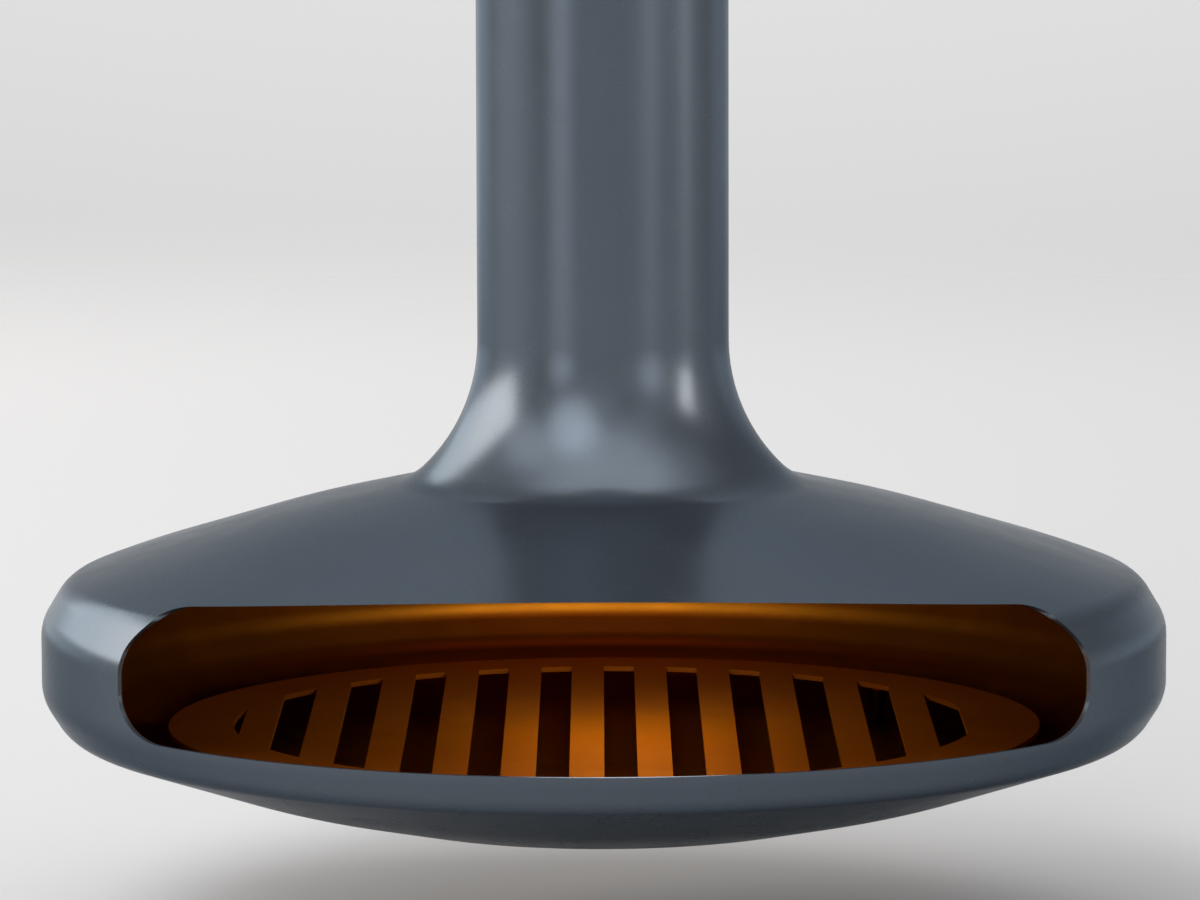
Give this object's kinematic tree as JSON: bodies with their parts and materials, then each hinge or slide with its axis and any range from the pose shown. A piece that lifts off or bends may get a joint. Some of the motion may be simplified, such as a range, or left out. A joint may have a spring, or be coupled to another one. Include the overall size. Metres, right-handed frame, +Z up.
{
  "type": "hanging fireplace",
  "caption": "Lens-shaped steel hearth with a wide mouth, hung from the ceiling by its flue pipe on a turning bearing, with a damper and a lift-out slotted grate.",
  "frame": {"origin": "centre of the ceiling plate's top face, which lies against the ceiling", "axes": "+Z up along the flue pipe, -Y towards the mouth, +X to the right as seen from the front"},
  "size_m": [1.12, 1.1177, 2.08],
  "materials": {
    "grey_paint": "satin slate blue-grey heat-proof paint with a faint metallic sheen",
    "orange_enamel": "satin orange-brown heat-proof enamel, darker where smoke has reached it",
    "grate_enamel": "satin orange-brown heat-proof enamel on a flat plate",
    "bare_steel": "mill-finish steel",
    "race_steel": "ground bearing steel",
    "zinc_screws": "zinc-plated",
    "cage_brass": "pressed sheet",
    "rope_seal": "braided graphite rope"
  },
  "bodies": {
    "ceiling_mount": {"ceiling_plate": "bare_steel", "flue_spigot": "bare_steel", "flue_seal": "rope_seal", "bearing_housing": "bare_steel", "housing_screws": "zinc_screws", "lower_race": "race_steel", "ceiling_cover": "grey_paint", "cover_screws": "zinc_screws"},
    "ball_ring": {"ball_cage": "cage_brass", "bearing_balls": "race_steel"},
    "hearth": {"upper_race": "race_steel", "pipe_flange": "bare_steel", "flange_gussets": "bare_steel", "flue_pipe": "grey_paint", "damper_sleeve": "bare_steel", "hood_flare": "grey_paint", "dome_shell": "grey_paint", "bowl_shell": "grey_paint", "dome_liner": "orange_enamel", "bowl_liner": "orange_enamel"},
    "damper": {"damper_spindle": "bare_steel", "damper_blade": "bare_steel", "damper_lever": "bare_steel", "damper_bolts": "zinc_screws"},
    "grate": {"grate_plate": "grate_enamel", "grate_feet": "grate_enamel"}
  },
  "joints": [
    {"name": "hearth_turn", "type": "hinge", "parent": "ceiling_mount", "child": "hearth", "pos_m": [0, 0, -0.06], "axis": [0, 0, 1], "continuous": true},
    {"name": "ball_ring_turn", "type": "hinge", "parent": "ceiling_mount", "child": "ball_ring", "pos_m": [0, 0, -0.06], "axis": [0, 0, 1], "continuous": true},
    {"name": "damper_turn", "type": "hinge", "parent": "hearth", "child": "damper", "pos_m": [0, 0, -1.487], "axis": [-1, 0, 0], "range_deg": [0, 90]},
    {"name": "grate_lift", "type": "slide", "parent": "hearth", "child": "grate", "axis": [0, 0, 1], "range_m": [0, 0.1]}
  ],
  "couplings": [
    {"joint": "ball_ring_turn", "follows": "hearth_turn", "ratio": 0.5}
  ]
}
